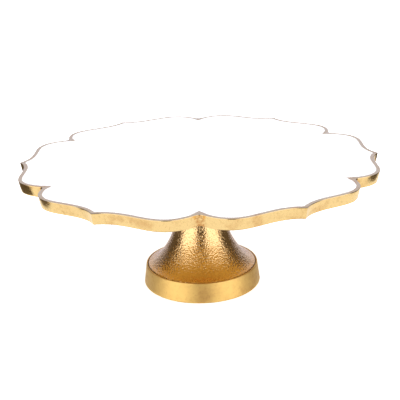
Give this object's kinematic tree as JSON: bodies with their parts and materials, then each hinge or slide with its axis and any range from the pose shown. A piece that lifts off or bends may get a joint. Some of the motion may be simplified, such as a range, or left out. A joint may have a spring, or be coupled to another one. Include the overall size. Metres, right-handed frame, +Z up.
{
  "type": "cake stand",
  "caption": "Low footed cake stand: a flat lobed plate with an enamelled top and metal rim, bolted onto a flared hollow pedestal with a smooth foot band.",
  "frame": {"origin": "on the floor, on the stand's vertical axis, under the middle of the pads", "axes": "+Z up along the stand's axis; -Y towards one inward cusp of the plate (the front); +X towards one outward tip"},
  "size_m": [0.33, 0.3258, 0.123],
  "materials": {
    "gold_casting": "satin",
    "gold_band": "satin",
    "white_enamel": "gloss",
    "plated_steel": "satin",
    "soft_gasket": "matte",
    "soft_pad": "matte"
  },
  "bodies": {
    "root": {"plate": "gold_casting", "enamel_top": "white_enamel", "pedestal": "gold_casting", "foot_band": "gold_band", "plate_gasket": "soft_gasket", "centre_bolt": "plated_steel", "flat_washer": "plated_steel", "spring_washer": "plated_steel", "foot_pad_1": "soft_pad", "foot_pad_2": "soft_pad", "foot_pad_3": "soft_pad", "foot_pad_4": "soft_pad"}
  },
  "joints": []
}
